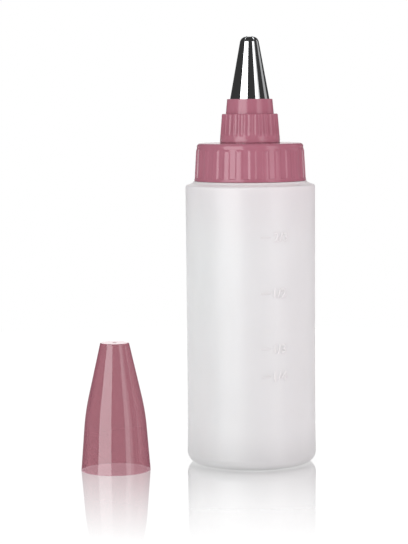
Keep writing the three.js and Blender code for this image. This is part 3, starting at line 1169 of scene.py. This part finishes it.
# %% Floor material
floor_radius = 450 * mm
floor_segments = 128
bottle_gloss = 0.8
overcap_gloss = 0.56
under_piece_share = 0.35
bottle_contact_fade = 5 * mm
overcap_contact_fade = 1 * mm
bottle_fade = 130 * mm
overcap_fade = 95 * mm
steep_view = 0.35
flat_view = 0.75
steep_share = 0.25
floor_glow = 0.87
floor_matt_share = 0.2
floor_matt = (0.92, 0.92, 0.92, 1)
white = (1, 1, 1, 1)


def gloss_round(tree, centre, start, contact_fade, fade, most):
    """The floor's gloss round a piece: most beside it, none a hand's width away, and little under it."""
    where = add_node(tree, "NewGeometry")["Position"]
    flat = add_node(tree, "VectorMath", {0: where, 1: (1, 1, 0)}, operation="MULTIPLY")[0]
    middle = (centre.x, centre.y, 0)
    away = add_node(tree, "VectorMath", {0: flat, 1: middle}, operation="DISTANCE")["Value"]
    fading = remap(tree, away, start, start + fade, most, 0)
    outside = remap(tree, away, start, start + contact_fade, under_piece_share, 1)
    return calculate(tree, "MULTIPLY", fading, outside)


def white_to_view(tree):
    """1 for what the camera sees, directly, in a mirror or through clear plastic."""
    path = add_node(tree, "LightPath")
    seen = calculate(tree, "MAXIMUM", path["Is Camera Ray"], path["Is Glossy Ray"])
    return calculate(tree, "MAXIMUM", seen, path["Is Transmission Ray"])


def bare_material(name):
    """A material with no shader yet, and its node tree."""
    material = bpy.data.materials.new(name)
    material.use_nodes = True
    material.node_tree.nodes.remove(material.node_tree.nodes["Principled BSDF"])
    return material, material.node_tree


floor_paint, tree = bare_material("white_floor")
bottle_foot = body_radius - base_corner
overcap_foot = overcap_mouth_radius - 1 * mm
by_bottle = gloss_round(tree, bottle_place, bottle_foot, bottle_contact_fade, bottle_fade, bottle_gloss)
by_overcap = gloss_round(tree, overcap_place, overcap_foot, overcap_contact_fade, overcap_fade, overcap_gloss)
facing = add_node(tree, "LayerWeight")["Facing"]
weaker = remap(tree, facing, steep_view, flat_view, steep_share, 1)
near = calculate(tree, "MULTIPLY", calculate(tree, "MAXIMUM", by_bottle, by_overcap), weaker)
view = white_to_view(tree)
gloss = calculate(tree, "MULTIPLY", near, view)
matt = add_node(tree, "BsdfDiffuse", {"Color": floor_matt})[0]
glow_strength = floor_glow / (1 - floor_matt_share)
glow = add_node(tree, "Emission", {"Color": white, "Strength": glow_strength})[0]
mirror = add_node(tree, "BsdfGlossy", {"Color": white, "Roughness": 0})[0]
lit = mix_shaders(tree, remap(tree, view, 0, 1, 1, floor_matt_share), glow, matt)
surface = mix_shaders(tree, gloss, lit, mirror)
tree.links.new(surface, tree.nodes["Material Output"].inputs["Surface"])
print("gloss beside the bottle", bottle_gloss, "and beside the overcap", overcap_gloss)

# %% Floor
floor_mesh = bmesh.new()
bmesh.ops.create_circle(floor_mesh, cap_ends=True, segments=floor_segments, radius=floor_radius)
floor = add_object("floor", new_mesh("floor", floor_mesh))
floor.data.materials.append(floor_paint)
floor.visible_glossy = False
print("floor", round(2 * floor_radius, 2), "m across")

# %% [markdown]
# ## What the polished surfaces mirror
# Shiny things are lit by what they mirror. Two tall soft boxes stand in front at the left and at the
# right and give the upright light bands; the right one has a dimmer edge. Black cloth hangs all round
# behind them and overhead, with a gap straight behind the object, so the steel goes dark between the
# bands as it does in the photograph. Cards do the rest. A grey one gives the steel its third band, two
# narrow ones draw the thin light line down each side of the collar, one at the back brightens the flat
# top of the overcap, and two low ones stand in for the white floor.
#
# All of them are curved screens that only mirror-like surfaces see. The floor's mirror is perfectly
# sharp, and light of that kind passes straight through the screens to the white world, so the floor
# never mirrors the studio. The lamps further down do the lighting, so each part can be set by itself.

# %% Screens
degrees_per_step = 4
screen_distance = 0.9
screen_foot = -0.7
screen_top = 0.67


def screen_material(name, strength):
    material, tree = bare_material(name)
    light = add_node(tree, "Emission", {"Color": white, "Strength": strength})[0]
    clear = add_node(tree, "BsdfTransparent")[0]
    from_floor = add_node(tree, "LightPath")["Is Singular Ray"]
    surface = mix_shaders(tree, from_floor, light, clear)
    tree.links.new(surface, tree.nodes["Material Output"].inputs["Surface"])
    return material


def add_screen(name, start, end, low, high, strength, distance=screen_distance, roof=False):
    """A curved upright screen round the object, between two bearings in degrees and two heights."""
    bm = bmesh.new()
    steps = max(round((end - start) / degrees_per_step), 1)
    bearings = [math.radians(degrees) for degrees in spaced(start, end, steps)]
    lines = [add_line(bm, [round_point(b, distance, height) for b in bearings]) for height in (low, high)]
    add_sheet(bm, lines)
    if roof:
        bm.faces.new(lines[1])
    screen = add_object(name, new_mesh(name, bm))
    screen.data.materials.append(screen_material(name, strength))
    screen.location = (bottle_place.x, bottle_place.y, 0)
    for rays in ("camera", "diffuse", "transmission", "volume_scatter", "shadow"):
        setattr(screen, "visible_" + rays, False)


cloth_top = 1.5
cloth_distance = 1.0
cloth_glow = 0.045
# Each screen: its name, its first and last bearing, its foot, its top and how brightly it shines.
screens = [
    ("left_soft_box", -60, -16, screen_foot, screen_top, 3.5),
    ("right_soft_box", 34, 52, screen_foot, screen_top, 1.9),
    ("right_box_edge", 52, 62, screen_foot, screen_top, 0.9),
    ("grey_card", 100, 124, 0.2, screen_top, 0.5),
    ("left_rim_card", -153, -144, 0.085, 0.13, 1.2),
    ("right_rim_card", 144, 153, 0.085, 0.13, 1.2),
    ("back_card", -177, -170, 0.135, 0.185, 1.45),
    ("left_low_card", -166, -95, screen_foot, 0.02, 0.8),
    ("right_low_card", 95, 166, screen_foot, 0.02, 0.5),
]
for screen in screens:
    add_screen(*screen)
add_screen("black_cloth", -166, 166, screen_foot, cloth_top, cloth_glow, cloth_distance, roof=True)
print(len(screens), "screens and the cloth stand")

# %% [markdown]
# ## Lamps and world
# Two wide lamps light the object softly from the front left and the front right, and a weak one lifts the
# back. The right one is faintly pink, as that side of the bottle is in the photograph. Together with the
# pale world they come to about the level at which a colour renders as it is written. The world is white
# to the camera, in mirrors and through clear plastic, and dimmer where it only adds light. The lamps
# stand low, so the flat shoulder isn't brighter than the upright side.

# %% Lamps
lamp_distance = 1.2
lamp_height = 1.2


def add_lamp(name, bearing, elevation, width, power, tint=(1, 1, 1)):
    """A wide lamp that looks at the middle of the bottle. Mirrors and clear plastic don't show it."""
    data = bpy.data.lights.new(name, "AREA")
    data.shape = "RECTANGLE"
    data.size = width
    data.size_y = lamp_height
    data.energy = power
    data.color = tint
    lamp = add_object(name, data)
    target = Vector((bottle_place.x, bottle_place.y, body_height / 2))
    raised = math.radians(elevation)
    away = Vector(round_point(math.radians(bearing), math.cos(raised), math.sin(raised)))
    lamp.location = target + away * lamp_distance
    lamp.rotation_mode = "QUATERNION"
    lamp.rotation_quaternion = (-away).to_track_quat("-Z", "Y")
    lamp.visible_glossy = False
    lamp.visible_transmission = False
    print(f"{name}: {power} W")


add_lamp("left_lamp", bearing=-45, elevation=6, width=0.9, power=4.9)
add_lamp("right_lamp", bearing=52, elevation=6, width=0.7, power=4.3, tint=(1, 0.77, 0.84))
add_lamp("back_lamp", bearing=180, elevation=12, width=1.2, power=2.4)

# %% World
world_fill = 0.8
world = bpy.data.worlds.new("studio")
bpy.context.scene.world = world
world.use_nodes = True
tree = world.node_tree
tree.nodes.clear()
fill = add_node(tree, "Background", {"Color": white, "Strength": world_fill})[0]
seen = add_node(tree, "Background", {"Color": white, "Strength": 1})[0]
add_node(tree, "OutputWorld", {"Surface": mix_shaders(tree, white_to_view(tree), fill, seen)})
print("world fill", world_fill)

# %% [markdown]
# ## The camera
# The view in the photograph is a long lens from a little above: the rims of the collar are nearly
# straight lines, and the base of the bottle is a shallow curve. The horizon lies far above the middle of
# the picture, so the camera looks down by about 5 degrees, and it leans over by a trace.

# %% Camera
image_height = 544
lens_pixels = 1979.5
sensor_size = 36
camera_place = Vector((2.15 * mm, -757.3 * mm, 140.5 * mm))
look_down = math.radians(5.029)
lean = math.radians(0.45)
camera_data = bpy.data.cameras.new("camera")
camera_data.lens = sensor_size * lens_pixels / image_height
camera_data.sensor_width = sensor_size
camera = add_object("camera", camera_data)
upright = Matrix.Rotation(math.pi / 2 - look_down, 4, "X")
camera.matrix_world = Matrix.Translation(camera_place) @ upright @ Matrix.Rotation(-lean, 4, "Z")
bpy.context.scene.camera = camera
bpy.context.scene.view_settings.view_transform = "Standard"
print("lens", round(camera_data.lens, 1), "mm")

bpy.context.view_layer.update()
